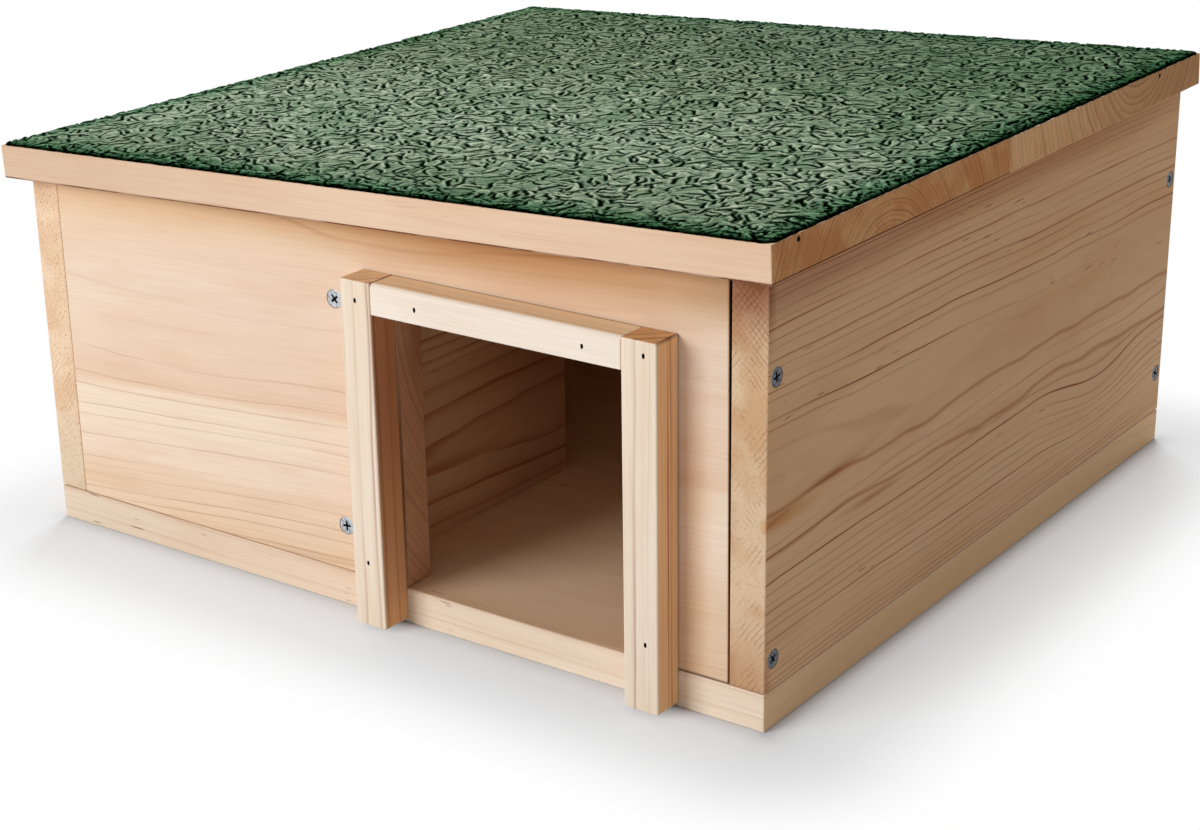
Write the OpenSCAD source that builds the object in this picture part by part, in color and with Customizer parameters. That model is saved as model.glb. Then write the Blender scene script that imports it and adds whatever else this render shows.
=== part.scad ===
// Hedgehog house: a low pine box with a framed doorway, an inner partition and a
// sloping lift-off roof covered with green roofing felt.
// Millimetres. +Z is up, the front looks along -Y, and the origin is the centre of
// the underside of the floor.

/* [House] */
// Width over the outer faces of the side walls
house_w = 440; // [400:5:520]
// Depth from the front face to the back face
house_d = 430; // [380:5:520]
// Height of the wall tops above the ground on the centre line
wall_h = 197; // [190:1:240]
// Thickness of the wall boards and the partition
wall_t = 18; // [16:1:22]
// Thickness of the floor boards
floor_t = 18; // [15:1:24]
// Width of the front floor board, whose glue joint meets the back one
floor_board_w = 224; // [180:1:240]
// Gap left between the front wall and the right wall
front_wall_gap = 0.7; // [0.2:0.1:0.9]

/* [Roof] */
// Drop of the wall tops from the right outer face to the left one
roof_fall = 18; // [8:1:26]
// Thickness of the roof boards
roof_t = 17; // [15:1:22]
// Overhang of the roof past the left wall
left_overhang = 9.5; // [4:0.5:20]
// Overhang of the roof past the right wall
right_overhang = 7; // [4:0.5:20]
// Overhang of the roof past the front wall
front_overhang = 9.5; // [4:0.5:14]
// Overhang of the roof past the back wall
back_overhang = 7.5; // [4:0.5:20]
// Width of the front roof board, whose glue joint meets the back one
roof_board_w = 214; // [180:1:240]

/* [Roofing felt] */
// Thickness of the felt bonded to the boards, between its folds
felt_t = 1.3; // [0.8:0.1:3]
// How far the felt rises and falls between its folds
felt_wave = 0.4; // [0.1:0.1:0.8]
// Distance between the main folds that crinkle the felt
fold_pitch = 27; // [24:1:60]
// Length of the main folds
fold_l = 19; // [8:1:22]
// Width of the main folds
fold_w = 4.6; // [2:0.2:7]
// Height of the tallest folds above the felt
fold_h = 1.2; // [0.4:0.1:2]
// Share of that height that the lowest folds have
fold_least = 0.55; // [0.2:0.05:1]
// Share of a fold's width by which its middle may bow to either side
fold_bow = 0.4; // [0:0.05:0.45]
// Length of the level crest along the middle of a fold
fold_crest_l = 6.4; // [1:0.2:7]
// Furthest that a fold turns away from the edge of the roof that it follows, in degrees
fold_turn = 34; // [0:1:36]

/* [Roof battens] */
// Width of the two battens that keep the roof in place
batten_w = 20; // [16:1:30]
// Height of the battens below the roof boards
batten_h = 15; // [12:1:20]
// Gap between each batten and the wall beside it
batten_gap = 3; // [2:0.5:6]
// Gap between each batten's ends and the front and back walls
batten_end_gap = 8; // [4:1:30]

/* [Doorway] */
// Clear width of the doorway
door_w = 138; // [110:1:150]
// Clear height of the doorway above the floor
door_h = 142; // [110:1:150]
// Wall left between the doorway and the right side wall
door_margin = 44; // [36:1:60]
// Width of the door posts
post_w = 18; // [14:1:24]
// Depth of the door posts and the lintel
post_d = 17; // [14:1:22]
// Gap between the door posts and the ground
post_lift = 2.5; // [1:0.5:8]
// Height of the lintel between the posts
lintel_h = 15; // [12:1:20]

/* [Partition] */
// Length of the partition from the inside of the front wall
partition_l = 150; // [120:5:200]
// Wall left between the partition and the doorway
partition_margin = 28; // [12:1:60]
// Drop of the partition's top below the wall tops
partition_top_gap = 3; // [2:0.5:15]

/* [Screws] */
// Diameter of the countersunk screw heads
screw_head_d = 9; // [7:0.5:10]
// Diameter of the screw shanks
screw_d = 4; // [3:0.5:4.5]
// Length of the wall and partition screws
screw_l = 40; // [32:1:45]
// Length of the floor screws
floor_screw_l = 42; // [34:1:48]
// Length of the batten screws
batten_screw_l = 26; // [22:1:28]
// Distance of the wall screws from the front and back edges of the side walls
edge_inset = 7; // [6:0.5:8]
// Lower front corner screws, height above the floor
front_screw_low = 15; // [10:1:40]
// Upper front corner screws, height above the floor
front_screw_high = 144; // [100:1:150]
// Lower back corner screws, height above the floor
back_screw_low = 24; // [10:1:40]
// Upper back corner screws, height above the floor
back_screw_high = 137; // [100:1:150]
// Lower partition screw, height above the floor
partition_screw_low = 24; // [10:1:40]
// Upper partition screw, height above the floor
partition_screw_high = 139; // [100:1:150]
// How far each screw head lies below the wood
screw_sink = 0.2; // [0:0.1:1]
// Length of each arm of the cross recess, from end to end
recess_l = 4.8; // [3:0.1:5.5]
// Width of the arms of the cross recess
recess_w = 1.2; // [0.8:0.1:1.6]
// Depth of the cross recess
recess_h = 1.6; // [1:0.1:1.8]
// Length of the screw points
tip_l = 6; // [3:0.5:8]

/* [Brads] */
// Diameter of the brads that hold the door frame and pin the roof edge
brad_d = 1.4; // [1.2:0.1:2]
// Diameter of the brad heads
brad_head_d = 2.2; // [2:0.1:3]
// Thickness of the brad heads
brad_head_h = 1; // [0.6:0.1:1.5]
// Length of the door frame brads
brad_l = 29; // [24:1:32]
// Length of the roof edge brads
edge_brad_l = 18; // [12:1:25]
// How far each brad head is driven below the wood
brad_sink = 1; // [0.5:0.1:2]
// Height of the lower post brads above the floor
post_brad_low = 17.5; // [10:0.5:30]
// Place of the left post's brads across it, from its left face
left_post_brad_x = 9; // [4:0.5:10]
// Place of the right post's brads across it, from its left face
right_post_brad_x = 11.5; // [4:0.5:12]
// Drop of the left post's upper brad below the top of the frame
left_post_brad_drop = 9.5; // [4:0.5:14]
// Drop of the right post's upper brad below the top of the frame
right_post_brad_drop = 6.5; // [4:0.5:14]
// Drop of the lintel brads below the top of the frame
lintel_brad_drop = 8; // [4:0.5:10]
// Distance of the left lintel brad from the left post
lintel_brad_left = 26; // [12:1:40]
// Distance of the right lintel brad from the right post
lintel_brad_right = 20; // [12:1:40]
// Distance of the front roof edge brads from the front of the roof
front_edge_brad = 21; // [12:1:80]
// Distance of the back roof edge brads from the back of the roof
back_edge_brad = 56; // [12:1:80]
// Depth of the roof edge brads below the felt
edge_brad_drop = 2.5; // [2:0.5:8]

/* [Clearances] */
// Gap between the wall tops and the roof that rests on them
roof_seat = 0.2; // [0.1:0.05:0.4]
// Radial clearance round every screw and brad in its hole
hole_clear = 0.15; // [0.1:0.05:0.3]
// Wood between a floor screw and a wall screw that cross in a corner
screw_spacing = 1.6; // [1:0.1:3]
// Distance of the floor screws from the inner corners of the house
floor_screw_inset = 70; // [40:5:100]
// Distance of the batten screws from the glue joint and from the batten ends
batten_screw_inset = 40; // [25:5:60]

/* [Hidden] */
$fn = 48;

pine = "#e2bf95";
pale_pine = "#ead0ac";
shaded_pine = "#c79d70";
felt_green = "#5c8064";
zinc = "#9aa0a6";
steel = "#4a4744";

eps = 0.5;
inner_w = house_w - 2 * wall_t;
inner_d = house_d - 2 * wall_t;
front_y = -house_d / 2;
back_y = house_d / 2;

roof_tilt = atan(roof_fall / house_w);
roof_x0 = -(house_w / 2 + left_overhang) / cos(roof_tilt);
roof_x1 = (house_w / 2 + right_overhang) / cos(roof_tilt);
roof_y0 = front_y - front_overhang;
roof_y1 = back_y + back_overhang;
roof_joint_y = roof_y0 + roof_board_w;
fold_columns = floor((roof_x1 - roof_x0) / fold_pitch);
fold_rows = floor((roof_y1 - roof_y0) / fold_pitch);
fold_step_x = (roof_x1 - roof_x0) / fold_columns;
fold_step_y = (roof_y1 - roof_y0) / fold_rows;
batten_l = inner_d - 2 * batten_end_gap;
batten_x = (inner_w / 2 - batten_gap - batten_w / 2) / cos(roof_tilt) - batten_h * sin(roof_tilt);

door_x1 = inner_w / 2 - door_margin;
door_x0 = door_x1 - door_w;
door_top = floor_t + door_h;
frame_top = door_top + lintel_h;
frame_y = front_y - post_d;

partition_x = door_x0 - partition_margin - wall_t / 2;
partition_y1 = front_y + wall_t + partition_l;

head_h = (screw_head_d - screw_d) / 2;
wall_screw_y = back_y - edge_inset;
floor_screw_y = wall_screw_y - screw_d - screw_spacing;

front_heights = [floor_t + front_screw_low, floor_t + front_screw_high];
back_heights = [floor_t + back_screw_low, floor_t + back_screw_high];
partition_heights = [floor_t + partition_screw_low, floor_t + partition_screw_high];

// Where the nine floor screws stand, seen from above
floor_screw_spots = concat(
    [[-(inner_w / 2 - floor_screw_inset), -floor_screw_y]],
    [[door_x1 + (post_w + door_margin) / 2, -floor_screw_y]],
    [for (side = [-1, 1]) [side * (inner_w / 2 - floor_screw_inset), floor_screw_y]],
    [for (side = [-1, 1], end = [-1, 1])
        [side * (house_w - wall_t) / 2, end * (inner_d / 2 - floor_screw_inset)]],
    [[partition_x, partition_y1 - floor_screw_inset]]
);

// The x and z of the door frame brads, on the front faces of the frame
frame_brad_spots = [
    [door_x0 - post_w + left_post_brad_x, floor_t + post_brad_low],
    [door_x0 - post_w + left_post_brad_x, frame_top - left_post_brad_drop],
    [door_x1 + right_post_brad_x, floor_t + post_brad_low],
    [door_x1 + right_post_brad_x, frame_top - right_post_brad_drop],
    [door_x0 + lintel_brad_left, frame_top - lintel_brad_drop],
    [door_x1 - lintel_brad_right, frame_top - lintel_brad_drop]
];

// Places along a batten where its screws stand, two in each roof board
batten_screw_spots = [
    -batten_l / 2 + batten_screw_inset, roof_joint_y - batten_screw_inset,
    roof_joint_y + batten_screw_inset, batten_l / 2 - batten_screw_inset
];

// Height of the wall tops at a place across the house
function wall_top(x) = wall_h + x * tan(roof_tilt);

// A number from 0 to 1 that looks random but is fixed by the fold's column and row and a choice
function scatter(column, row, choice) =
    let (wave = 43.7585 * sin(127.1 * column + 311.7 * row + 74.7 * choice)) wave - floor(wave);

// Whether a fold runs along the roof's depth, and not across it
function fold_runs_deep(column, row) = scatter(column, row, 1) > 0.5;

// The six points of a fold in its own frame: two tips, the sides between them and two crest points
function fold_outline(bow, height) = [
    [-fold_l / 2, 0, 0], [0, bow - fold_w / 2, 0], [fold_l / 2, 0, 0], [0, bow + fold_w / 2, 0],
    [-fold_crest_l / 2, bow, height], [fold_crest_l / 2, bow, height]
];

// The same points on the felt's upper face, moved and turned within the fold's patch of the roof
function fold_points(column, row) =
    let (
        spare_x = (fold_step_x - fold_l) / 2,
        spare_y = (fold_step_y - fold_l) / 2,
        x = roof_x0 + (column + 0.5) * fold_step_x + (2 * scatter(column, row, 2) - 1) * spare_x,
        y = roof_y0 + (row + 0.5) * fold_step_y + (2 * scatter(column, row, 3) - 1) * spare_y,
        angle = (fold_runs_deep(column, row) ? 90 : 0) + (2 * scatter(column, row, 4) - 1) * fold_turn,
        bow = (2 * scatter(column, row, 5) - 1) * fold_w * fold_bow,
        height = fold_h * (fold_least + (1 - fold_least) * scatter(column, row, 6))
    )
    [for (point = fold_outline(bow, height)) [
        x + point[0] * cos(angle) - point[1] * sin(angle),
        y + point[0] * sin(angle) + point[1] * cos(angle),
        roof_t + felt_t + point[2]
    ]];

// A countersunk screw that points down, with the top of its head at the origin
module screw(length) {
    difference() {
        union() {
            translate([0, 0, -head_h]) cylinder(d1 = screw_d, d2 = screw_head_d, h = head_h);
            translate([0, 0, tip_l - length]) cylinder(d = screw_d, h = length - tip_l - head_h);
            translate([0, 0, -length]) cylinder(d1 = screw_d / 4, d2 = screw_d, h = tip_l);
        }
        for (turn = [0, 90])
            rotate([0, 0, turn])
                translate([-recess_l / 2, -recess_w / 2, -recess_h])
                    cube([recess_l, recess_w, recess_h + eps]);
    }
}

// The hole that such a screw needs, open at the top and a little longer than the screw
module screw_hole(length) {
    head_r = screw_head_d / 2 + hole_clear;
    shank_r = screw_d / 2 + hole_clear;
    translate([0, 0, -length - hole_clear]) cylinder(r = shank_r, h = length);
    translate([0, 0, -head_h]) cylinder(r1 = shank_r, r2 = head_r, h = head_h);
    cylinder(r = head_r, h = screw_sink + eps);
}

// A brad that points down, with the top of its head at the origin
module brad(length) {
    translate([0, 0, -brad_head_h]) cylinder(d = brad_head_d, h = brad_head_h);
    translate([0, 0, -length]) cylinder(d = brad_d, h = length - brad_head_h);
}

// The hole that a brad leaves, open at the top where its head was driven in
module brad_hole(length) {
    translate([0, 0, -length - hole_clear]) cylinder(d = brad_d + 2 * hole_clear, h = length);
    translate([0, 0, -brad_head_h - hole_clear])
        cylinder(d = brad_head_d + 2 * hole_clear, h = brad_head_h + hole_clear + brad_sink + eps);
}

// Places for the two screws or holes at each end of a side wall, driven towards the house's middle
module side_wall_places(side) {
    for (end = [-1, 1], z = end < 0 ? front_heights : back_heights)
        translate([side * (house_w / 2 - screw_sink), end * wall_screw_y, z])
            rotate([0, side * 90, 0]) children();
}

// Places for the partition screws, driven back from the front face
module partition_places() {
    for (z = partition_heights)
        translate([partition_x, front_y + screw_sink, z]) rotate([90, 0, 0]) children();
}

// Places for the floor screws, driven up from the underside
module floor_places() {
    for (spot = floor_screw_spots)
        translate([spot[0], spot[1], screw_sink]) rotate([180, 0, 0]) children();
}

// Places for the door frame brads, driven back from the frame's front face
module frame_brad_places() {
    for (spot = frame_brad_spots)
        translate([spot[0], frame_y + brad_sink, spot[1]]) rotate([90, 0, 0]) children();
}

// The roof's own frame: x up the slope, z out of the boards, the underside at z = 0
module on_slope() {
    translate([0, 0, wall_h + roof_seat]) rotate([0, -roof_tilt, 0]) children();
}

// Places in the roof's frame for the batten screws, driven up from below
module batten_screw_places(side) {
    for (y = batten_screw_spots)
        translate([side * batten_x, y, screw_sink - batten_h]) rotate([180, 0, 0]) children();
}

// Places in the roof's frame for the brads in its two ends
module edge_brad_places() {
    for (side = [-1, 1], y = [roof_y0 + front_edge_brad, roof_y1 - back_edge_brad])
        translate([side < 0 ? roof_x0 + brad_sink : roof_x1 - brad_sink, y, roof_t - edge_brad_drop])
            rotate([0, side * 90, 0]) children();
}

// A floor board from one depth to another
module floor_board(y0, y1) {
    difference() {
        translate([-house_w / 2, y0, 0]) cube([house_w, y1 - y0, floor_t]);
        floor_places() screw_hole(floor_screw_l);
    }
}

// An upright board that fills an outline of the house seen from the front, between two depths
module upright(outline, y0, y1) {
    translate([0, y1, 0]) rotate([90, 0, 0]) linear_extrude(height = y1 - y0) polygon(outline);
}

// Outline of a board between two places across the house, cut to the roof's slope
function under_roof(x0, x1) = [[x0, floor_t], [x1, floor_t], [x1, wall_top(x1)], [x0, wall_top(x0)]];

// Outline of the front wall, with the doorway cut up from its lower edge
function front_outline(x0, x1) = [
    [x0, floor_t], [door_x0, floor_t], [door_x0, door_top], [door_x1, door_top], [door_x1, floor_t],
    [x1, floor_t], [x1, wall_top(x1)], [x0, wall_top(x0)]
];

// A side wall: -1 is the left one and 1 the right one
module side_wall(side) {
    outer = side * house_w / 2;
    inner = side * inner_w / 2;
    difference() {
        upright(under_roof(min(outer, inner), max(outer, inner)), front_y, back_y);
        side_wall_places(side) screw_hole(screw_l);
        floor_places() screw_hole(floor_screw_l);
    }
}

// A door post with its left face at x0
module door_post(x0) {
    difference() {
        translate([x0, frame_y, post_lift]) cube([post_w, post_d, frame_top - post_lift]);
        frame_brad_places() brad_hole(brad_l);
    }
}

// A roof board from one depth to another
module roof_board(y0, y1) {
    on_slope() difference() {
        translate([roof_x0, y0, 0]) cube([roof_x1 - roof_x0, y1 - y0, roof_t]);
        for (side = [-1, 1]) batten_screw_places(side) screw_hole(batten_screw_l);
        edge_brad_places() brad_hole(edge_brad_l);
    }
}

// A locating batten under the roof, beside the left wall (-1) or the right one (1)
module roof_batten(side) {
    on_slope() difference() {
        translate([side * batten_x - batten_w / 2, -batten_l / 2, -batten_h])
            cube([batten_w, batten_l, batten_h]);
        batten_screw_places(side) screw_hole(batten_screw_l);
    }
}

module floor_front_board() { color(pale_pine) floor_board(front_y, front_y + floor_board_w); }

module floor_back_board() { color(pale_pine) floor_board(front_y + floor_board_w, back_y); }

module front_wall() {
    color(pine) difference() {
        upright(front_outline(-inner_w / 2, inner_w / 2 - front_wall_gap), front_y, front_y + wall_t);
        for (side = [-1, 1]) side_wall_places(side) screw_hole(screw_l);
        partition_places() screw_hole(screw_l);
        floor_places() screw_hole(floor_screw_l);
        frame_brad_places() brad_hole(brad_l);
    }
}

module back_wall() {
    color(pine) difference() {
        upright(under_roof(-inner_w / 2, inner_w / 2), back_y - wall_t, back_y);
        for (side = [-1, 1]) side_wall_places(side) screw_hole(screw_l);
        floor_places() screw_hole(floor_screw_l);
    }
}

module left_wall() { color(pine) side_wall(-1); }

module right_wall() { color(shaded_pine) side_wall(1); }

module partition_wall() {
    x0 = partition_x - wall_t / 2;
    color(shaded_pine) difference() {
        translate([x0, front_y + wall_t, floor_t])
            cube([wall_t, partition_l, wall_top(x0) - partition_top_gap - floor_t]);
        partition_places() screw_hole(screw_l);
        floor_places() screw_hole(floor_screw_l);
    }
}

module door_post_left() { color(pale_pine) door_post(door_x0 - post_w); }

module door_post_right() { color(pale_pine) door_post(door_x1); }

module door_lintel() {
    color(pale_pine) difference() {
        translate([door_x0, frame_y, door_top]) cube([door_w, post_d, lintel_h]);
        frame_brad_places() brad_hole(brad_l);
    }
}

module door_frame_brads() { color(steel) frame_brad_places() brad(brad_l); }

module left_wall_screws() { color(zinc) side_wall_places(-1) screw(screw_l); }

module right_wall_screws() { color(zinc) side_wall_places(1) screw(screw_l); }

module partition_screws() { color(zinc) partition_places() screw(screw_l); }

module floor_screws() { color(zinc) floor_places() screw(floor_screw_l); }

module roof_front_board() { color(pine) roof_board(roof_y0, roof_joint_y); }

module roof_back_board() { color(pine) roof_board(roof_joint_y, roof_y1); }

// The felt's sheet with its folds: a grid of patches, each with one fold that stands up from it
module crinkled_sheet() {
    corner_count = (fold_columns + 1) * (fold_rows + 1);
    base_count = corner_count + 6 * fold_columns * fold_rows;
    corners = [for (column = [0:fold_columns], row = [0:fold_rows])
        [
            roof_x0 + column * fold_step_x,
            roof_y0 + row * fold_step_y,
            roof_t + felt_t + (scatter(column, row, 7) - 0.5) * felt_wave
        ]];
    folds = [for (column = [0:fold_columns - 1], row = [0:fold_rows - 1]) each fold_points(column, row)];
    base = [for (x = [roof_x0, roof_x1], y = [roof_y0, roof_y1]) [x, y, roof_t]];
    function corner(column, row) = column * (fold_rows + 1) + row;
    function patch_corners(column, row) = [
        corner(column, row), corner(column + 1, row), corner(column + 1, row + 1), corner(column, row + 1)
    ];
    patches = [for (column = [0:fold_columns - 1], row = [0:fold_rows - 1])
        let (
            square = patch_corners(column, row),
            first = fold_runs_deep(column, row) ? 1 : 0,
            p = [for (k = [0:3]) square[(k + first) % 4]],
            f = [for (k = [0:5]) corner_count + 6 * (column * fold_rows + row) + k]
        )
        each [
            [p[0], f[1], p[1]], [p[1], f[1], f[2]], [p[1], f[2], p[2]], [p[2], f[2], f[3]],
            [p[2], f[3], p[3]], [p[3], f[3], f[0]], [p[3], f[0], p[0]], [p[0], f[0], f[1]],
            [f[0], f[4], f[1]], [f[1], f[4], f[5]], [f[1], f[5], f[2]],
            [f[2], f[5], f[3]], [f[3], f[5], f[4]], [f[3], f[4], f[0]]
        ]];
    edges = [
        concat([for (column = [0:fold_columns]) corner(column, 0)], [base_count + 2, base_count]),
        concat([for (row = [0:fold_rows]) corner(fold_columns, row)], [base_count + 3, base_count + 2]),
        concat([for (column = [fold_columns:-1:0]) corner(column, fold_rows)], [base_count + 1, base_count + 3]),
        concat([for (row = [fold_rows:-1:0]) corner(0, row)], [base_count, base_count + 1])
    ];
    underside = [base_count, base_count + 2, base_count + 3, base_count + 1];
    polyhedron(points = concat(corners, folds, base), faces = concat(patches, edges, [underside]));
}

module roof_felt() { color(felt_green) on_slope() crinkled_sheet(); }

module roof_batten_left() { color(pine) roof_batten(-1); }

module roof_batten_right() { color(pine) roof_batten(1); }

module roof_batten_screws() {
    color(zinc) on_slope() for (side = [-1, 1]) batten_screw_places(side) screw(batten_screw_l);
}

module roof_edge_brads() { color(steel) on_slope() edge_brad_places() brad(edge_brad_l); }

floor_front_board();
floor_back_board();
front_wall();
back_wall();
left_wall();
right_wall();
partition_wall();
door_post_left();
door_post_right();
door_lintel();
door_frame_brads();
left_wall_screws();
right_wall_screws();
partition_screws();
floor_screws();
roof_front_board();
roof_back_board();
roof_felt();
roof_batten_left();
roof_batten_right();
roof_batten_screws();
roof_edge_brads();
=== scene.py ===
"""Looks of a small pine garden house: boards, crinkled green felt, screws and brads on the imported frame."""

import math
import random

import bmesh
import bpy
import numpy as np
from mathutils import Matrix, Vector, noise


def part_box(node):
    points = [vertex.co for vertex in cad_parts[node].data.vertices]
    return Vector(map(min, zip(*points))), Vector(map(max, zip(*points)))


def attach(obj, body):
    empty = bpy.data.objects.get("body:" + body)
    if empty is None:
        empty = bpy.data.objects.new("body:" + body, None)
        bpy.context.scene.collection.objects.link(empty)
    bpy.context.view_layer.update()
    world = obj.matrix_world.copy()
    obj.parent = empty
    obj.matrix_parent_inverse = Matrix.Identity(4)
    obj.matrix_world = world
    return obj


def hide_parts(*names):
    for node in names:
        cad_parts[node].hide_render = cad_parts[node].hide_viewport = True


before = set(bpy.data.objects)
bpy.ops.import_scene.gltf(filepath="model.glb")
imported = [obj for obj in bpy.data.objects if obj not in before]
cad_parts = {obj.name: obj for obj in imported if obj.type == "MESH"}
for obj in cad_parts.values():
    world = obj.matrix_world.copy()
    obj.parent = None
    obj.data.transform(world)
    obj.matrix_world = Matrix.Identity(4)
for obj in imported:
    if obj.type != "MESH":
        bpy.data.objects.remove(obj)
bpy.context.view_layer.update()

MM = 0.001
SEED = 11

# House, as the CAD source has it
HALF_WIDTH = 220 * MM
HALF_DEPTH = 215 * MM
ROOF_RISE = 18 * MM
ROOF_SLOPE = math.atan2(ROOF_RISE, 2 * HALF_WIDTH)
WALL_TOP = 197 * MM
PARTITION_GAP = 3 * MM
ROOF_GAP = 0.4 * MM
ROOF_SEAT = 0.2 * MM
DOOR_LEFT = 20 * MM
DOOR_RIGHT = 158 * MM
DOOR_TOP = 160 * MM
POST_WIDTH = 18 * MM
POST_FACE = -232 * MM
PARTITION_X = -17 * MM
FLOOR_JOINT = 9 * MM
SILL_GAP = 0.5 * MM
FRONT_TAPER = 0.7 * MM

# Roof, in its own tilted frame
ROOF_LEFT = -229.69 * MM
ROOF_RIGHT = 227.19 * MM
ROOF_FRONT = -224.5 * MM
ROOF_BACK = 222.5 * MM
ROOF_JOINT = -10.5 * MM
ROOF_THICK = 17 * MM
BATTEN_X = 188.5 * MM
BATTEN_WIDTH = 20 * MM
BATTEN_DEEP = 15 * MM
BATTEN_END = 189 * MM
BATTEN_INSET = 40 * MM
ROOF_FRAME = Matrix.Translation((0, 0, WALL_TOP + ROOF_SEAT)) @ Matrix.Rotation(-ROOF_SLOPE, 4, "Y")

# Edges: an arris is sharp above an angle, and points closer than TOUCH count as one
ARRIS = 0.7 * MM
ARRIS_STEPS = 2
LINTEL_ROUND = 2.6 * MM
LINTEL_STEPS = 6
SHARP = math.radians(20)
TOUCH = 1e-5
SIDEWAYS = 0.97

# Screws
SCREW_SINK = 0.2 * MM
SCREW_HEAD = 4.5 * MM
SCREW_SHANK = 2 * MM
SCREW_POINT = 6 * MM
HEAD_EASE = 0.25 * MM
HEAD_EASE_DEEP = 0.12 * MM
HEAD_LAND = 0.3 * MM
SCREW_STEPS = 32
SCREW_LENGTH = 40 * MM
FLOOR_SCREW_LENGTH = 42 * MM
BATTEN_SCREW_LENGTH = 26 * MM
CROSS_HALF = 0.65 * MM
CROSS_ARM = 2.6 * MM
CROSS_MOUTH = 0.5 * MM
CROSS_DEEP = 2.1 * MM
CROSS_TAPER = 0.55

# Brads
BRAD_SINK = 1 * MM
BRAD_HEAD = 1.1 * MM
BRAD_SHANK = 0.7 * MM
BRAD_POINT = 3 * MM
BRAD_EASE = 0.2 * MM
BRAD_HEAD_DEEP = 0.9 * MM
BRAD_NECK_DEEP = 1 * MM
BRAD_STEPS = 20
BRAD_LENGTH = 29 * MM
EDGE_BRAD_LENGTH = 18 * MM
EDGE_BRAD_DOWN = 2.5 * MM
BRAD_OVAL = Matrix.Diagonal((0.6, 1, 1, 1))

# Holes
HOLE_CLEAR = 0.15 * MM
HOLE_MOUTH = 2 * MM
HOLE_STEPS = 28
PIT_DEEP = 1.1 * MM
PIT_NECK_DEEP = 1.2 * MM

# Main folds of the felt in mm, by the CAD source's formula
FELT_FLAT = 1.3
FOLD_PITCH = 27
FOLD_LENGTH = 19
FOLD_CREST = 6.4
FOLD_WIDTH = 4.6
FOLD_HEIGHT = 1.2
FOLD_LEAST = 0.55
FOLD_BOW = 0.4
FOLD_TURN = 34
FOLD_TIP = 0.01
SCATTER_STEPS = (127.1, 311.7, 74.7)
SCATTER_SPREAD = 43.7585

# Small creases of the felt in mm, each a groove with a ridge beside it
CREASES = 26000
CREASE_HALF = (2.5, 8)
CREASE_WIDTH = (0.6, 1)
CREASE_BOW = 0.09
CREASE_WAVE = 1.6
CREASE_WAVE_PACE = 3
CREASE_STRENGTH = (0.7, 1)
CREASE_MARGIN = 3
CREASE_CLEAR = 1.35
CREASE_OVERLAP = 0.2
CREASE_RIDGE = 1.9
CREASE_RISE = 0.6
CREASE_DROP = 0.9

# Felt sheet; its tone is 0 in the grooves and 1 on the ridges, which paints shade in the grooves and a
# highlight on the ridges
FELT_CELLS = 304
FELT_LIP = 4 * MM
FELT_LIP_LEAST = 0.35
FELT_LIP_PULL = 0.3 * MM
FELT_BORDER = 26 * MM
FELT_CORNER = 5 * MM
FELT_RAG = 0.9 * MM
FELT_RAG_PITCH = 7 * MM
FELT_TONE = 0.6
FELT_SKIRT_TONE = 0.1

# Studio floor: the share of glowing white at steps in mm away from the house, a painted fade of its shadow
FLOOR_WHITES = (
    (0, 0), (6, 0.28), (12, 0.43), (25, 0.52), (40, 0.61), (55, 0.745), (70, 0.88), (85, 0.97), (100, 1),
)
FLOOR_HALF = 6
FLOOR_DROP = 0.05 * MM

# Lights: place, aim, size and power of each softbox, and the fill from all round
SOFTBOXES = {
    "key_light": ((-0.8, -2.05, 0.95), (0, 0, 0.12), 1.2, 31),
    "back_light": ((-0.75, 1.5, 1.7), (0, 0, 0.2), 0.9, 33),
}
FILL_COLOUR = (1.0, 0.97, 0.94, 1)
FILL_STRENGTH = 0.32
WHITE = (1, 1, 1, 1)

# Camera, fitted to the photograph's corners
CAMERA_PLACE = (0.68258, -0.97868, 0.47819)
CAMERA_AZIMUTH = 35.65
CAMERA_ELEVATION = 20.322
CAMERA_ROLL = -0.796
CAMERA_LENS = 69.11
CAMERA_SENSOR = 36
CAMERA_NEAR = 0.01

# Turns in degrees that lay the grain along an axis
ALONG_X = (0, 0, 0)
ALONG_Y = (0, 0, 90)
ALONG_Z = (0, -90, 0)
GRAIN_AXIS = {ALONG_X: (1, 0, 0), ALONG_Y: (0, 1, 0), ALONG_Z: (0, 0, 1)}


# Mesh helpers

def put(name, data):
    """Puts an object with its data into the scene."""
    made = bpy.data.objects.new(name, data)
    bpy.context.scene.collection.objects.link(made)
    return made


def mesh_of(name, bm):
    """The mesh of a finished bmesh."""
    mesh = bpy.data.meshes.new(name)
    bm.to_mesh(mesh)
    bm.free()
    return mesh


def piece_from(name, bm, look, body, node):
    """Turns a finished bmesh into a piece that stands for a CAD node."""
    piece = put(name, mesh_of(name, bm))
    piece.data.materials.append(look)
    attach(piece, body)
    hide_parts(node)
    return piece


def only(kind, items):
    """The vertices or edges among an operator's results."""
    return [item for item in items if isinstance(item, kind)]


def face_outwards(bm):
    bmesh.ops.recalc_face_normals(bm, faces=bm.faces[:])


def tilt(bm):
    """Moves a shape from the roof's own frame into the house."""
    bmesh.ops.transform(bm, matrix=ROOF_FRAME, verts=bm.verts[:])


def plank(low, high):
    """A sawn board between two corners."""
    bm = bmesh.new()
    low = Vector(low)
    high = Vector(high)
    place = Matrix.Translation((low + high) / 2) @ Matrix.Diagonal((*(high - low), 1))
    bmesh.ops.create_cube(bm, size=1, matrix=place)
    return bm


def drawn_out(corners, shift, taper=1):
    """A flat outline drawn out by a shift, its far end scaled by a taper in x and y."""
    bm = bmesh.new()
    face = bm.faces.new([bm.verts.new(corner) for corner in corners])
    far = only(bmesh.types.BMVert, bmesh.ops.extrude_face_region(bm, geom=[face])["geom"])
    bmesh.ops.scale(bm, verts=far, vec=(taper, taper, 1))
    bmesh.ops.translate(bm, verts=far, vec=shift)
    return bm


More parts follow.
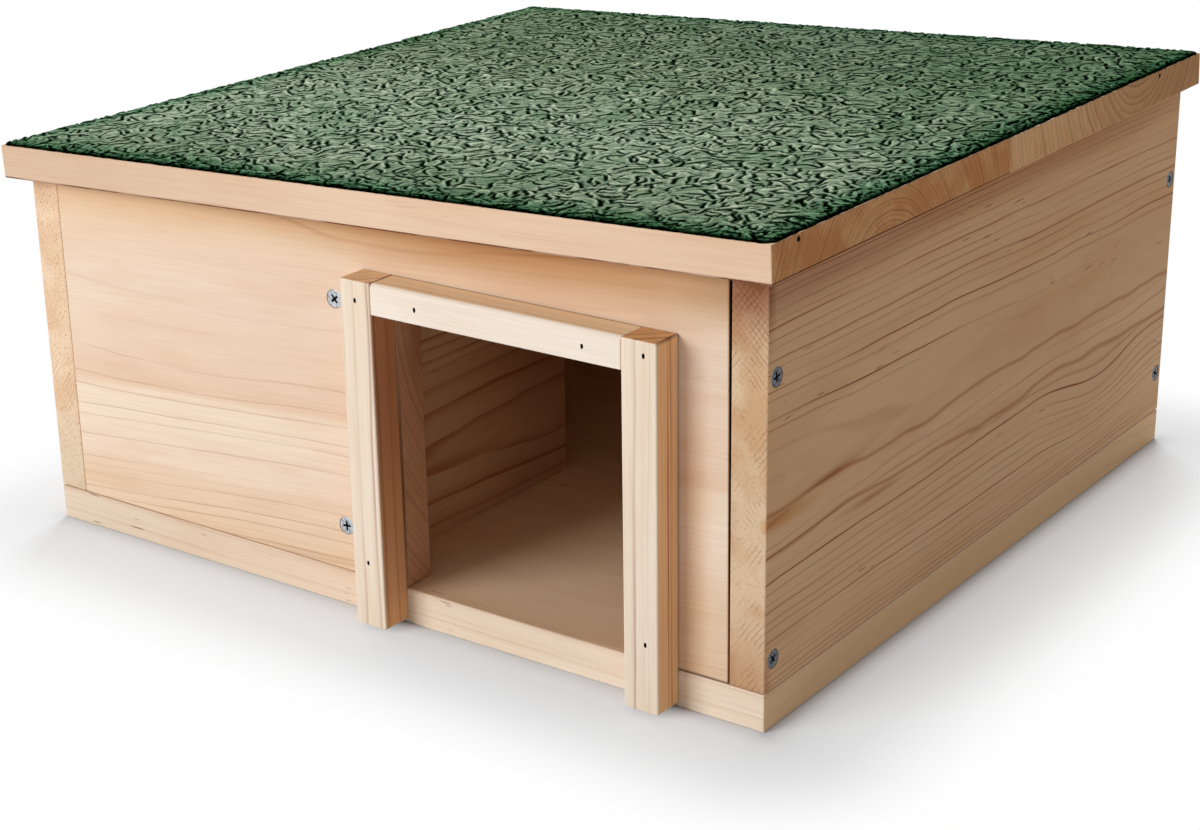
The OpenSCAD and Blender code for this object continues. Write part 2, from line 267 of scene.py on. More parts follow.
def saw_to_roof(bm, drop):
    """Cuts a wall off along the roof's slope, a given drop below the wall top."""
    cut = bmesh.ops.bisect_plane(
        bm,
        geom=bm.verts[:] + bm.edges[:] + bm.faces[:],
        plane_co=(0, 0, WALL_TOP - drop),
        plane_no=(-math.sin(ROOF_SLOPE), 0, math.cos(ROOF_SLOPE)),
        clear_outer=True,
    )
    rim = only(bmesh.types.BMEdge, cut["geom_cut"])
    if rim:
        bmesh.ops.holes_fill(bm, edges=rim)
    face_outwards(bm)


def bevel(bm, edges, width, steps):
    bmesh.ops.bevel(
        bm, geom=edges, offset=width, offset_type="OFFSET", segments=steps, profile=0.5, affect="EDGES",
        material=-1, clamp_overlap=True,
    )


def ease(bm, joint):
    """Takes the sharpness off every arris, apart from those at a glue joint across y."""
    arrises = [
        edge for edge in bm.edges
        if edge.calc_face_angle(0) > SHARP
        and (joint is None or any(abs(vert.co.y - joint) > TOUCH for vert in edge.verts))
    ]
    bevel(bm, arrises, ARRIS, ARRIS_STEPS)


def round_edge(bm, front, top):
    """Rounds the long edge that lies at a front y and a top z."""
    long_edge = [
        edge for edge in bm.edges
        if all(abs(vert.co.y - front) < TOUCH and abs(vert.co.z - top) < TOUCH for vert in edge.verts)
    ]
    bevel(bm, long_edge, LINTEL_ROUND, LINTEL_STEPS)


def lathe(profile, steps):
    """A closed turned shape from (radius, height) points that start and end on the axis."""
    bm = bmesh.new()
    points = [bm.verts.new((radius, 0, height)) for radius, height in profile]
    edges = [bm.edges.new(pair) for pair in zip(points, points[1:])]
    bmesh.ops.spin(
        bm, geom=points + edges, cent=(0, 0, 0), axis=(0, 0, 1), angle=math.tau, steps=steps, use_merge=True,
    )
    bmesh.ops.remove_doubles(bm, verts=bm.verts[:], dist=TOUCH)
    face_outwards(bm)
    return bm


def stamp(bm, places):
    """Copies a small shape to each place and gives one bmesh that holds all of them."""
    mesh = mesh_of("stamp", bm)
    joined = bmesh.new()
    for place in places:
        before = len(joined.verts)
        joined.from_mesh(mesh)
        joined.verts.ensure_lookup_table()
        bmesh.ops.transform(joined, matrix=place, verts=joined.verts[before:])
    bpy.data.meshes.remove(mesh)
    return joined


def cut_from(piece, bm, lining=None):
    """Cuts a closed bmesh out of a piece for good, with the new faces in the lining's material."""
    mesh = mesh_of("cutter", bm)
    if lining:
        mesh.materials.append(lining)
    cutter = put("cutter", mesh)
    boolean = piece.modifiers.new("cut", "BOOLEAN")
    boolean.object = cutter
    boolean.operation = "DIFFERENCE"
    boolean.solver = "EXACT"
    boolean.material_mode = "TRANSFER" if lining else "INDEX"
    settled = piece.evaluated_get(bpy.context.evaluated_depsgraph_get())
    result = bpy.data.meshes.new_from_object(settled)
    whole = piece.data
    piece.modifiers.clear()
    piece.data = result
    result.name = whole.name + "_cut"
    bpy.data.meshes.remove(whole)
    bpy.data.objects.remove(cutter)
    bpy.data.meshes.remove(mesh)


# Fasteners: a place is a frame whose Z leaves the wood and whose origin is the top of the head

def facing(point, outward, twist):
    """The frame of a fastener at a point, with its head towards outward and turned by twist degrees."""
    turn = Vector(outward).to_track_quat("Z", "Y").to_matrix().to_4x4()
    return Matrix.Translation(point) @ turn @ Matrix.Rotation(math.radians(twist), 4, "Z")


def screw_profile(length, clear):
    """The outline of a countersunk screw, grown by a clearance."""
    head = SCREW_HEAD + clear
    shank = SCREW_SHANK + clear
    return [
        (0, clear),
        (head - HEAD_EASE, clear),
        (head, -HEAD_EASE_DEEP),
        (head, -HEAD_LAND),
        (shank, SCREW_SHANK - SCREW_HEAD - HEAD_LAND),
        (shank, SCREW_POINT - length),
        (0, -length - clear),
    ]


def hole_profile(length):
    """The hole for a screw, open above the wood."""
    below_rim = screw_profile(length, HOLE_CLEAR)[3:]
    return [(0, HOLE_MOUTH), (SCREW_HEAD + HOLE_CLEAR, HOLE_MOUTH)] + below_rim


def brad_profile(length):
    """The outline of a brad with a small head."""
    return [
        (0, 0),
        (BRAD_HEAD - BRAD_EASE, 0),
        (BRAD_HEAD, -BRAD_EASE),
        (BRAD_HEAD, -BRAD_HEAD_DEEP),
        (BRAD_SHANK, -BRAD_NECK_DEEP),
        (BRAD_SHANK, BRAD_POINT - length),
        (0, -length),
    ]


def brad_hole_profile(length):
    """The pit that a driven brad leaves, open above the wood."""
    pit = BRAD_HEAD + HOLE_CLEAR
    shank = BRAD_SHANK + HOLE_CLEAR
    return [
        (0, HOLE_MOUTH),
        (pit, HOLE_MOUTH),
        (pit, -PIT_DEEP),
        (shank, -PIT_NECK_DEEP),
        (shank, -length),
        (0, -length - HOLE_CLEAR),
    ]


def cross_recess():
    """The tapered cross that a driver bit fits, as a cutter."""
    arm = ((CROSS_HALF, CROSS_HALF), (CROSS_HALF, CROSS_ARM), (-CROSS_HALF, CROSS_ARM))
    outline = []
    for quarter in range(4):
        spin = Matrix.Rotation(quarter * math.tau / 4, 2)
        outline += [spin @ Vector(corner) for corner in arm]
    bm = drawn_out([(x, y, CROSS_MOUTH) for x, y in outline], (0, 0, -CROSS_DEEP - CROSS_MOUTH), CROSS_TAPER)
    face_outwards(bm)
    return bm


# Node helpers

def tint(red, green, blue):
    """A colour given as it shows on a screen, 0 to 255, for a socket."""
    def linear(value):
        share = value / 255
        return share / 12.92 if share <= 0.04045 else ((share + 0.055) / 1.055) ** 2.4
    return (linear(red), linear(green), linear(blue), 1)


def feed(inputs, values):
    """Links or fills a node's inputs."""
    for key, value in values.items():
        if isinstance(value, bpy.types.NodeSocket):
            value.id_data.links.new(value, inputs[key])
        else:
            inputs[key].default_value = value


def new_node(tree, kind, **settings):
    """Places a shader node in a tree and sets it."""
    made = tree.nodes.new("ShaderNode" + kind)
    for key, value in settings.items():
        setattr(made, key, value)
    return made


def add(kind, inputs, **settings):
    """Places a shader node in the tree of the sockets that feed it."""
    tree = next(value.id_data for value in inputs.values() if isinstance(value, bpy.types.NodeSocket))
    made = new_node(tree, kind, **settings)
    feed(made.inputs, inputs)
    return made


def maths(operation, *values):
    return add("Math", dict(enumerate(values)), operation=operation).outputs[0]


def times(first, second):
    return maths("MULTIPLY", first, second)


def vector(operation, *values):
    made = add("VectorMath", dict(enumerate(values)), operation=operation)
    return made.outputs["Value" if operation in ("LENGTH", "DOT_PRODUCT") else "Vector"]


def step(value, start, end, low=0.0, high=1.0):
    """A smooth step of a value from low at start to high at end."""
    inputs = {"Value": value, "From Min": start, "From Max": end, "To Min": low, "To Max": high}
    return add("MapRange", inputs, interpolation_type="SMOOTHSTEP").outputs["Result"]


def straight(value, start, end):
    """A straight rise of a value from 0 at start to 1 at end."""
    return add("MapRange", {"Value": value, "From Min": start, "From Max": end}).outputs["Result"]


def noise_at(place, along, across, detail, roughness=0.5):
    """Noise over a place, with so many waves in a metre along x and across it."""
    stretched = vector("MULTIPLY", place, (along, across, across))
    inputs = {"Vector": stretched, "Scale": 1.0, "Detail": detail, "Roughness": roughness}
    return add("TexNoise", inputs).outputs["Fac"]


def centred(share):
    """Noise moved to lie round 0."""
    return maths("SUBTRACT", share, 0.5)


def thread(share, width):
    """A thin line where noise passes through its middle."""
    return step(maths("ABSOLUTE", centred(share)), 0, width, 1, 0)


def near(place, centre, reach):
    """A soft patch round a centre in mm, which fades out at a reach in mm along each axis."""
    offset = vector("SUBTRACT", place, [c * MM for c in centre])
    scaled = vector("DIVIDE", offset, [r * MM for r in reach])
    return step(vector("LENGTH", scaled), 0, 1, 1, 0)


def squareness(normal, axis):
    """How squarely a face looks along an axis, from 0 to 1."""
    return maths("ABSOLUTE", vector("DOT_PRODUCT", normal, axis))


def colour_ramp(share, stops):
    """A ramp through (position, colour, alpha) stops."""
    ramp = add("ValToRGB", {"Fac": share})
    points = ramp.color_ramp.elements
    while len(points) < len(stops):
        points.new(1.0)
    for point, (position, colour, alpha) in zip(points, stops):
        point.position = position
        point.color = (*colour[:3], alpha)
    return ramp.outputs


def blend(share, first, second, how="MIX"):
    inputs = {0: share, 6: first, 7: second}
    return add("Mix", inputs, data_type="RGBA", blend_type=how, clamp_factor=True).outputs[2]


def stain_and_shade(share, colour, tone):
    """Multiplies a colour by a tone, as far as a share says, for marks in the material and for painted shade
    alike.
    """
    return blend(share, colour, tone, "MULTIPLY")


def group(name, inputs, outputs):
    """An empty shader node group with float or vector inputs and float outputs."""
    tree = bpy.data.node_groups.new(name, "ShaderNodeTree")
    for key, default in inputs.items():
        kind = "NodeSocketVector" if default is None else "NodeSocketFloat"
        socket = tree.interface.new_socket(key, in_out="INPUT", socket_type=kind)
        if default is not None:
            socket.default_value = default
    for key in outputs:
        tree.interface.new_socket(key, in_out="OUTPUT", socket_type="NodeSocketFloat")
    entry = tree.nodes.new("NodeGroupInput").outputs
    leave = tree.nodes.new("NodeGroupOutput").inputs
    return tree, entry, leave


def use(shared, inputs):
    """Places a shared group in a material with its own values."""
    return add("Group", inputs, node_tree=shared).outputs


def material(name):
    """A new node material, its tree and its Principled shader."""
    made = bpy.data.materials.new(name)
    made.use_nodes = True
    return made, made.node_tree, made.node_tree.nodes["Principled BSDF"]


# Shared wood effects. X of the incoming vector runs along the grain, and the pith lies on its axis.

def growth_rings():
    """Latewood lines of a conifer: slow darkening, then a hard edge, each ring with its own strength."""
    inputs = {
        "Vector": None, "Ring Width": 0.0035, "Sway": 0.006, "Ripple": 0.0005,
        "Wander": 1.6, "Line Start": 0.74,
    }
    tree, entry, leave = group("growth_rings", inputs, ["Line", "Shade"])
    place = entry["Vector"]
    radius = vector("LENGTH", vector("MULTIPLY", place, (0, 1, 1)))
    sway = centred(noise_at(place, 3.2, 9, 1.5))
    ripple = centred(noise_at(place, 16, 60, 1.5))
    radius = maths("MULTIPLY_ADD", sway, times(entry["Sway"], 4), radius)
    radius = maths("MULTIPLY_ADD", ripple, times(entry["Ripple"], 4), radius)
    count = maths("DIVIDE", radius, entry["Ring Width"])
    slow = {"W": times(count, 0.43), "Scale": 1.0, "Detail": 1.0}
    drift = add("TexNoise", slow, noise_dimensions="1D").outputs["Fac"]
    count = maths("MULTIPLY_ADD", centred(drift), entry["Wander"], count)
    share = maths("FRACT", count)
    number = maths("FLOOR", count)
    tone = add("TexWhiteNoise", {"W": number}, noise_dimensions="1D").outputs["Value"]
    strength = maths("MULTIPLY_ADD", maths("POWER", tone, 1.3), 0.75, 0.25)
    fade = step(noise_at(place, 9, 120, 1), 0.3, 0.6, 0.25, 1)
    fall = step(share, 0.95, 1, 1, 0)
    thin = times(step(share, entry["Line Start"], 0.93), fall)
    soft = times(maths("POWER", step(share, 0.2, 0.95), 2.0), fall)
    feed(leave, {
        "Line": times(times(thin, strength), fade),
        "Shade": times(soft, strength),
    })
    return tree


def wood_fibre():
    """Fine fibre streaks, broad colour drift and short resin dashes along the grain."""
    tree, entry, leave = group("wood_fibre", {"Vector": None}, ["Fibre", "Drift", "Mottle", "Dashes"])
    place = entry["Vector"]
    seeds = noise_at(place, 62, 800, 0)
    patch = noise_at(place, 7, 26, 1)
    feed(leave, {
        "Fibre": noise_at(place, 24, 1300, 3.0, 0.6),
        "Drift": noise_at(place, 2.2, 16, 2.0),
        "Mottle": noise_at(place, 14, 70, 2.0),
        "Dashes": times(step(seeds, 0.77, 0.82), step(patch, 0.52, 0.62)),
    })
    return tree


def saw_scores():
    """Crossed scores and speckle that a saw leaves on end grain, in the plane across the grain."""
    inputs = {"Vector": None, "Pitch": 0.0023}
    tree, entry, leave = group("saw_scores", inputs, ["Scores", "Hatch", "Speckle"])
    place = entry["Vector"]
    wobble = noise_at(place, 120, 120, 1)
    lines = []
    for slant in ((0, 0.82, 0.57), (0, -0.71, 0.70)):
        along = vector("DOT_PRODUCT", place, slant)
        count = maths("MULTIPLY_ADD", wobble, 0.8, maths("DIVIDE", along, entry["Pitch"]))
        share = maths("ABSOLUTE", centred(maths("FRACT", count)))
        lines.append(step(share, 0.40, 0.5))
    patch = noise_at(place, 38, 38, 1)
    first = times(lines[0], step(patch, 0.48, 0.62))
    second = times(lines[1], step(patch, 0.52, 0.38))
    broken = step(noise_at(place, 110, 110, 2.0), 0.38, 0.6)
    wear_and_shade = step(noise_at(place, 95, 95, 2.0), 0.4, 0.56, 0.15, 0.8)
    feed(leave, {
        "Scores": times(maths("MAXIMUM", first, second), broken),
        "Hatch": times(maths("MAXIMUM", *lines), wear_and_shade),
        "Speckle": noise_at(place, 500, 700, 3.0),
    })
    return tree


RINGS = growth_rings()
FIBRE = wood_fibre()
SCORES = saw_scores()

# Colours that every board shares
SOFT = tint(226, 190, 152)
SCORE_BROWN = tint(150, 100, 66)
# The resin colour also paints the thin shade line along a board's lower edge
RESIN_AND_EDGE_SHADE = tint(116, 68, 38)

# Tones of single boards, as they show on a screen
FRESH = (245, 223, 197)
WARM = (239, 196, 152)
CREAM = (250, 235, 215)
ORANGE = (250, 194, 140)
LATE = (196, 142, 94)
DARK_LATE = (146, 86, 54)
POST_LATE = (166, 106, 66)
WAVY = (200, 142, 98)
END_TAN = (232, 194, 156)
# Painted shade: the dark in the joints of the door frame, and in the corner where the left post meets the
# doorway's edge
GAP_SHADE = (120, 76, 52)
CORNER_SHADE = (110, 70, 50)

# The painted shade line at a board's lower edge, in mm above it: full below the first, gone above the second
FOOT_SHADE_LINE = (0.6, 1.3)


def pine(name, grain, pith, turn=(0, 0, 0), ring=4.0, sway=2.0, ripple=0.5, wander=1.6, early=FRESH,
         late=LATE, line_start=0.74, line=0.7, shade=0.1, drift=0.3, bands=(), waver=(4, 9), side=None,
         swerve=None, marks_and_shade=(), calm=None, end=END_TAN, end_line=0.5, scores=0.3, speckle=0.3, hatch=None,
         dashes=0.6, shaded_foot=None):
    """Pine of one board: the pith passes through a point in mm and runs along grain, turned a little.

    bands are (height, colour, line strength) steps across the board, and waver is how often in a metre and
    how far in mm they sway. side is (axis, colour, strength) for the faces that look along an axis. swerve is
    (centre, reach, shift) where the grain bends. stains are (centre, reach, colour, strength) patches that
    multiply, both marks in the wood and painted shade. calm is (centre, reach) where the ring lines fade out.
    hatch is (centre, reach) where saw scores cross in full on the end grain. foot is the height of a lower
    edge that gets a thin line of painted shade. Colours are given as they show on a screen.
    """
    made, tree, shader = material(name)
    coords = new_node(tree, "TexCoord").outputs
    point = coords["Object"]
    normal = coords["Normal"]
    angles = [math.radians(a + b) for a, b in zip(grain, turn)]
    lay = {"Vector": point, "Location": [p * MM for p in pith], "Rotation": angles}
    place = add("Mapping", lay, vector_type="TEXTURE").outputs["Vector"]
    if swerve:
        centre, reach, shift = swerve
        bend = times(near(point, centre, reach), shift * MM)
        place = vector("ADD", place, add("CombineXYZ", {"Z": bend}).outputs[0])
    rings = use(RINGS, {
        "Vector": place, "Ring Width": ring * MM, "Sway": sway * MM, "Ripple": ripple * MM,
        "Wander": wander, "Line Start": line_start,
    })
    fibre = use(FIBRE, {"Vector": place})
    marks = use(SCORES, {"Vector": place})
    colour = tint(*early)
    late = tint(*late)
    line_share = times(rings["Line"], line)
    shade_share = times(rings["Shade"], shade)
    if bands:
        pace, swing = waver
        across = add("SeparateXYZ", {"Vector": place}).outputs["Z"]
        bend = centred(noise_at(place, pace, 30, 2.0))
        across = maths("MULTIPLY_ADD", bend, swing * MM, across)
        low = bands[0][0]
        high = bands[-1][0]
        ranged = straight(across, (low - pith[2]) * MM, (high - pith[2]) * MM)
        stops = [((height - low) / (high - low), tint(*tone), strength) for height, tone, strength in bands]
        ramp = colour_ramp(ranged, stops)
        colour = ramp["Color"]
        line_share = times(line_share, ramp["Alpha"])
        shade_share = times(shade_share, ramp["Alpha"])
    if calm:
        plain = maths("SUBTRACT", 1, near(point, *calm))
        line_share = times(line_share, plain)
        shade_share = times(shade_share, plain)
    if side:
        axis, tone, strength = side
        is_side = step(squareness(normal, axis), 0.94, 0.99, 0, strength)
        colour = blend(is_side, colour, tint(*tone))
    colour = stain_and_shade(step(fibre["Drift"], 0.35, 0.7, 0, drift), colour, SOFT)
    colour = stain_and_shade(step(fibre["Mottle"], 0.4, 0.75, 0, 0.16), colour, SOFT)
    colour = stain_and_shade(shade_share, colour, late)
    colour = stain_and_shade(line_share, colour, late)
    colour = stain_and_shade(step(fibre["Fibre"], 0.35, 0.75, 0, 0.18), colour, SOFT)
    colour = blend(times(fibre["Dashes"], dashes), colour, RESIN_AND_EDGE_SHADE)
    arcs = maths("MAXIMUM", rings["Shade"], rings["Line"])
    end_colour = blend(times(arcs, end_line), tint(*end), SCORE_BROWN)
    pores = step(marks["Speckle"], 0.5, 0.78, 0, speckle)
    end_colour = blend(pores, end_colour, SCORE_BROWN)
    end_colour = blend(times(marks["Scores"], scores), end_colour, SCORE_BROWN)
    if hatch:
        crossed = times(marks["Hatch"], near(point, *hatch))
        end_colour = blend(crossed, end_colour, SCORE_BROWN)
    blotch = step(noise_at(place, 30, 42, 2.0), 0.4, 0.66, 0, 0.7 * scores)
    end_colour = stain_and_shade(blotch, end_colour, SOFT)
    is_end = step(squareness(normal, GRAIN_AXIS[grain]), 0.5, 0.9)
    colour = blend(is_end, colour, end_colour)
    for centre, reach, tone, strength in marks_and_shade:
        colour = stain_and_shade(times(near(point, centre, reach), strength), colour, tint(*tone))
    # Painted shade: a thin dark line in the resin colour along the lower edge of the upright faces
    if shaded_foot is not None:
        up = add("SeparateXYZ", {"Vector": place}).outputs["Z"]
        full, gone = [(shaded_foot - pith[2] + above) * MM for above in FOOT_SHADE_LINE]
        edge = step(up, full, gone, 1, 0)
        upright = step(squareness(normal, (0, 0, 1)), 0.8, 0.95, 1, 0)
        come_and_go = step(noise_at(place, 40, 4, 2.0), 0.35, 0.6, 0.5, 1)
        colour = stain_and_shade(times(times(edge, upright), come_and_go), colour, RESIN_AND_EDGE_SHADE)
    relief = maths("MULTIPLY_ADD", rings["Line"], 0.5, times(fibre["Fibre"], 0.6))
    relief = maths("MULTIPLY_ADD", times(marks["Scores"], is_end), -1.5, relief)
    bump = add("Bump", {"Height": relief, "Strength": 0.3, "Distance": 0.15 * MM})
    feed(shader.inputs, {
        "Base Color": colour,
        "Roughness": step(fibre["Fibre"], 0.2, 0.8, 0.55, 0.7),
        "Normal": bump.outputs["Normal"],
        "Specular IOR Level": 0.08,
    })
    return made


def felt_green():
    """Mineral felt in dull green, with painted shade in its creases, along its border and at the back, and
    painted light on its ridges and front left.
    """
    made, tree, shader = material("green_felt")
    place = new_node(tree, "TexCoord").outputs["Object"]
    height = new_node(tree, "Attribute", attribute_name="relief").outputs["Fac"]
    border = new_node(tree, "Attribute", attribute_name="border").outputs["Fac"]
    grit = noise_at(place, 1600, 1600, 2.0, 0.7)
    fray = noise_at(place, 420, 420, 2.0, 0.6)
    patch = noise_at(place, 26, 26, 2.0)
    # Wrinkles and puckers are bumps, and they also darken the tone as thin lines of painted shade
    wrinkle = thread(noise_at(place, 95, 95, 2.0, 0.55), 0.025)
    pucker = thread(noise_at(place, 210, 210, 1), 0.07)
    pucker = times(pucker, step(border, 0.2, 0.8, 0, 0.3))
    level = maths("MULTIPLY_ADD", centred(fray), 0.16, height)
    level = maths("MULTIPLY_ADD", wrinkle, -0.16, level)
    level = maths("SUBTRACT", level, pucker)
    # The ramp paints shade and light: near-black in the creases, pale on the ridges' crests
    stops = [
        (0.0, tint(3, 9, 3), 1), (0.22, tint(8, 20, 8), 1), (0.44, tint(58, 80, 57), 1),
        (0.58, tint(125, 147, 119), 1), (0.8, tint(176, 192, 162), 1), (1.0, tint(224, 232, 204), 1),
    ]
    colour = colour_ramp(level, stops)["Color"]
    # Patches and grit vary the felt; the three border tones paint shade, darker towards the rolled rim
    for share, start, full, most, tone in (
        (patch, 0.42, 0.7, 0.5, tint(186, 208, 188)),
        (grit, 0.5, 0.8, 0.5, tint(120, 140, 122)),
        (border, 0, 1, 0.9, tint(152, 208, 184)),
        (border, 0.84, 0.99, 0.9, tint(58, 104, 78)),
        (border, 0.94, 1, 0.9, tint(70, 84, 68)),
    ):
        colour = stain_and_shade(step(share, start, full, 0, most), colour, tone)
    # Painted light: the felt is paler towards the front left as a sheen, and darker towards the back and the
    # back right as shade
    wear_and_shade = near(place, (0, 190, 225), (330, 170, 80))
    colour = stain_and_shade(wear_and_shade, colour, tint(224, 229, 230))
    front_sheen = near(place, (-60, -100, 215), (800, 190, 80))
    sheen_and_shade = blend(front_sheen, (0.83, 0.85, 0.83, 1), (1.22, 1.2, 1.3, 1))
    colour = stain_and_shade(1.0, colour, sheen_and_shade)
    back_right_shade = near(place, (230, 130, 220), (250, 230, 80))
    colour = stain_and_shade(back_right_shade, colour, (0.68, 0.79, 0.72, 1))
    rough = maths("MULTIPLY_ADD", fray, 2.0, grit)
    rough = maths("MULTIPLY_ADD", wrinkle, -2.0, rough)
    bump = add("Bump", {"Height": rough, "Strength": 0.5, "Distance": 0.25 * MM})
    feed(shader.inputs, {
        "Base Color": colour,
        "Roughness": step(grit, 0.2, 0.8, 0.75, 0.95),
        "Normal": bump.outputs["Normal"],
        "Specular IOR Level": 0.0,
    })
    return made


def patchy_metal(name, bright, tarnish, patches, roughness, gloss, metallic=0.0, detail=(2.0, 0.5)):
    """Metal of the fasteners, or the painted shade in recesses: two tones in small patches, so many in a
    metre.
    """
    made, tree, shader = material(name)
    place = new_node(tree, "TexCoord").outputs["Object"]
    dull = noise_at(place, patches, patches, *detail)
    feed(shader.inputs, {
        "Base Color": blend(step(dull, 0.4, 0.7), bright, tarnish),
        "Roughness": step(dull, 0.3, 0.7, *roughness),
        "Metallic": metallic,
        "Specular IOR Level": gloss,
    })
    return made


# Zinc plate: patches in a metre, roughness, gloss, metallic share and noise detail
ZINC = (600, (0.3, 0.5), 0.2, 0.35, (3.0, 0.6))
PLATED_ZINC = patchy_metal("plated_zinc", tint(204, 210, 216), tint(140, 147, 155), *ZINC)
# Painted shade: a darker copy of the zinc, for the screws that stand in shade; plated_zinc is the lit one
SHADED_ZINC = patchy_metal("shaded_zinc", tint(122, 128, 135), tint(60, 65, 72), *ZINC)
# Painted shade: a near-black lining for cross recesses, brad pits and the gap beside the right wall
RECESS_SHADE = patchy_metal("recess_shade", tint(30, 30, 30), tint(13, 13, 14), 900, (0.6, 0.8), 0.15)
BRAD = patchy_metal("brad_steel", tint(26, 20, 17), tint(12, 9, 7), 1200, (0.75, 0.95), 0)
FELT = felt_green()

# Colour steps of the front wall by height: the board's figure, and towards the top darker steps of painted
# shade under the roof's overhang
FRONT_BANDS = [
    (18, (240, 212, 182), 0.9), (40, (242, 216, 188), 0.9), (51, (243, 218, 191), 0.9),
    (58, (249, 229, 208), 0.4), (72, (249, 230, 210), 0.4), (79, (251, 234, 213), 0.9),
    (94, (250, 232, 211), 0.9), (98, (242, 215, 189), 1), (109, (242, 217, 194), 0.9),
    (117, (244, 221, 197), 0.1), (150, (242, 219, 197), 0.14), (176, (240, 214, 188), 0.2),
    (190, (233, 202, 167), 0.3), (205, (226, 189, 151), 0.3),
]
# The right wall's darker top step is painted shade under the roof's overhang
RIGHT_BANDS = [
    (0, (248, 209, 166), 0.5), (46, (246, 205, 161), 0.7), (70, WARM, 1), (80, WARM, 0.8),
    (81.5, WAVY, 0.5), (83, WARM, 0.5), (92, (241, 199, 156), 0.3), (100, WARM, 0.12), (101.5, WAVY, 0.12),
    (103, WARM, 0.12), (134, WARM, 0.12), (140, WARM, 0.7), (205, (234, 187, 141), 0.8),
]
FRONT_PINE = pine(
    "front_wall_pine", ALONG_X, (0, -40, 172), turn=(0, -3.6, 0), ring=4.0, sway=2.2, ripple=0.3, wander=2.6,
    late=(184, 134, 88), line_start=0.85, line=0.8, drift=0.15, bands=FRONT_BANDS,
    calm=((205, -215, 80), (150, 60, 130)), end=(204, 154, 116), dashes=0.2,
    marks_and_shade=[
        # Painted shade under the roof's overhang, across the top of the wall
        ((90, -215, 195), (200, 40, 25), (232, 206, 182), 0.9),
        ((80, -215, 197), (420, 40, 24), (238, 230, 216), 1),
        ((205, -215, 196), (40, 40, 18), (232, 228, 224), 1),
        # Painted warm shade beside the right post, where its shadow falls
        ((182, -215, 85), (14, 60, 120), (253, 237, 222), 1),
        # Painted shade in the doorway's left reveal, darker towards the top
        ((20, -199, 190), (4, 15, 120), (180, 146, 136), 0.9),
        # Painted shadow in the corner where the left post meets the doorway's edge
        ((20, -215, 70), (1.6, 1.6, 104), CORNER_SHADE, 0.95),
        # Painted shade in the joint with the floor, right of the doorway
        ((192, -215, 18.4), (50, 6, 1.8), (100, 60, 40), 0.95),
    ],
)
RIGHT_PINE = pine(
    "right_wall_pine", ALONG_Y, (168, 0, 112), turn=(0, 0, 0.6), ring=3.3, sway=2.4, late=(168, 108, 76),
    line=1.7, bands=RIGHT_BANDS, waver=(11, 14), swerve=((220, 125, 56), (200, 85, 34), 10),
    end=(230, 201, 167), end_line=0.05, scores=0.8, hatch=((211, -215, 192), (40, 20, 38)), dashes=0.7,
    marks_and_shade=[
        ((220, -207, 97), (5, 46, 6), (232, 196, 146), 0.8),
        ((220, -160, 103), (5, 34, 4), (206, 160, 128), 0.6),
        ((220, -122, 80), (5, 44, 3), (200, 156, 126), 0.6),
        # Painted shade under the roof's overhang, along the top of the wall
        ((220, 40, 200), (60, 300, 16), (214, 190, 170), 0.8),
        ((220, -215, 198), (60, 230, 18), (222, 212, 212), 1),
        ((211, -215, 205), (30, 8, 46), (186, 140, 112), 0.9),
        ((211, -215, 16), (30, 8, 46), (220, 188, 168), 0.8),
    ],
)
LEFT_PINE = pine(
    "left_wall_pine", ALONG_Y, (-160, 0, 90), turn=(0, 0, -1.0), ring=3.6, sway=2.4, early=WARM,
    late=DARK_LATE, line=0.8, end=(243, 214, 182), end_line=0.08, scores=0.5, speckle=0.5,
    marks_and_shade=[
        ((-214, -215, 202), (26, 8, 36), (204, 166, 138), 0.9),
        ((-211, -215, 24), (30, 8, 60), (238, 244, 248), 0.9),
    ],
)
BACK_PINE = pine(
    "back_wall_pine", ALONG_X, (0, 172, 78), turn=(0, -0.8, 0), ring=3.4, sway=3.2, early=WARM,
    late=DARK_LATE, line=0.65,
)
# The partition's darker tone and the patch on its front half paint the shade inside the house
PARTITION_PINE = pine(
    "partition_pine", ALONG_Y, (40, 0, 60), turn=(2.0, 0, 0), ring=5.0, sway=3.0, early=(216, 180, 145),
    line=1.0, shade=0.45, marks_and_shade=[((-8, -40, 130), (40, 130, 200), (168, 140, 120), 0.9)],
)
FLOOR_PINE = pine(
    "floor_pine", ALONG_X, (0, -40, -2600), turn=(0, 0.1, 0), ring=4.2, ripple=0.3, wander=2.4,
    early=(251, 234, 213), line=0.2, drift=0.2, side=((0, 0, 1), (243, 214, 179), 0.9),
    end=(255, 213, 166), end_line=0.12, scores=0.0, speckle=0.12, dashes=0.9,
    marks_and_shade=[((-225, -215, 9), (280, 40, 60), (238, 236, 234), 1)],
)
